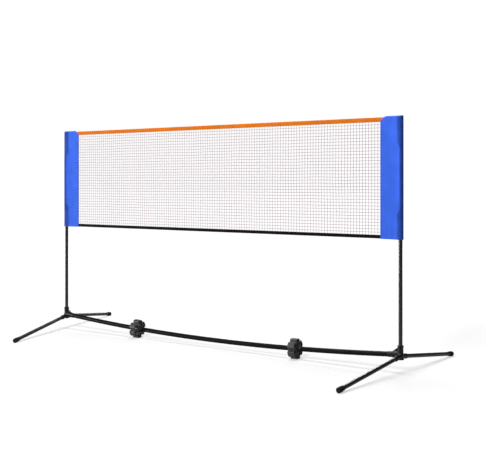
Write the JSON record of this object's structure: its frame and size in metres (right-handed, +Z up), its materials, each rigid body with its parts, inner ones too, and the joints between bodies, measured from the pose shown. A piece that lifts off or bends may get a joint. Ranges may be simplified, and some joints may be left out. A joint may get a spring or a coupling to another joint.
{
  "type": "portable badminton net",
  "caption": "Free-standing badminton net on telescopic poles, with splayed tube feet, a bowed ground bar on support wheels, and cloth sleeves that slip over the poles.",
  "frame": {"origin": "on the floor, half way between the two poles", "axes": "+X along the net towards the right pole, +Y across the net to the back, +Z up"},
  "size_m": [3.0262, 1.2648, 1.55],
  "materials": {
    "frame_tube": "satin black powder coat",
    "pole_tube": "satin dark grey powder coat",
    "black_plastic": "moulded, fine texture",
    "wheel_plastic": "moulded, fine texture",
    "foot_rubber": "moulded rubber",
    "nylon": "natural nylon",
    "steel_ferrule": "zinc plated",
    "blue_cloth": "woven polyester",
    "orange_tape": "woven tape",
    "black_tape": "woven tape",
    "netting": "knotted twine"
  },
  "bodies": {
    "base": {"bar_ferrule": "steel_ferrule", "left_hub": "black_plastic", "left_outer_bar": "frame_tube", "left_inner_bar": "frame_tube", "left_wheel_coupler": "black_plastic", "left_wheel_stop_ring": "black_plastic", "left_lower_pole": "pole_tube", "left_pole_collet": "nylon", "left_front_leg": "frame_tube", "left_front_foot": "foot_rubber", "left_back_leg": "frame_tube", "left_back_foot": "foot_rubber", "right_hub": "black_plastic", "right_outer_bar": "frame_tube", "right_inner_bar": "frame_tube", "right_wheel_coupler": "black_plastic", "right_wheel_stop_ring": "black_plastic", "right_lower_pole": "pole_tube", "right_pole_collet": "nylon", "right_front_leg": "frame_tube", "right_front_foot": "foot_rubber", "right_back_leg": "frame_tube", "right_back_foot": "foot_rubber"},
    "left_mast": {"left_upper_pole": "pole_tube", "left_pole_bush": "nylon", "left_pole_cap": "black_plastic"},
    "left_roller": {"left_wheel": "wheel_plastic"},
    "left_lock": {"left_lock_ring": "black_plastic"},
    "right_mast": {"right_upper_pole": "pole_tube", "right_pole_bush": "nylon", "right_pole_cap": "black_plastic"},
    "right_roller": {"right_wheel": "wheel_plastic"},
    "right_lock": {"right_lock_ring": "black_plastic"},
    "net": {"netting": "netting", "top_tape": "orange_tape", "bottom_tape": "black_tape", "left_net_sleeve": "blue_cloth", "left_sleeve_crown": "blue_cloth", "right_net_sleeve": "blue_cloth", "right_sleeve_crown": "blue_cloth"}
  },
  "joints": [
    {"name": "left_pole_height", "type": "slide", "parent": "base", "child": "left_mast", "axis": [0, 0, 1], "range_m": [-0.55, 0]},
    {"name": "right_pole_height", "type": "slide", "parent": "base", "child": "right_mast", "axis": [0, 0, 1], "range_m": [-0.55, 0]},
    {"name": "net_lift", "type": "slide", "parent": "left_mast", "child": "net", "axis": [0, 0, 1], "range_m": [0, 0.8]},
    {"name": "left_wheel_turn", "type": "hinge", "parent": "base", "child": "left_roller", "pos_m": [-0.663, 0, 0.06689], "axis": [0.9992, 0, -0.0404], "continuous": true},
    {"name": "left_pole_lock", "type": "hinge", "parent": "base", "child": "left_lock", "pos_m": [-1.385, 0, 0.86], "axis": [0, 0, 1], "range_deg": [0, 90]},
    {"name": "right_wheel_turn", "type": "hinge", "parent": "base", "child": "right_roller", "pos_m": [0.663, 0, 0.06689], "axis": [0.9992, 0, 0.0404], "continuous": true},
    {"name": "right_pole_lock", "type": "hinge", "parent": "base", "child": "right_lock", "pos_m": [1.385, 0, 0.86], "axis": [0, 0, 1], "range_deg": [0, 90]}
  ],
  "couplings": [
    {"joint": "right_pole_height", "follows": "left_pole_height", "ratio": 1}
  ]
}
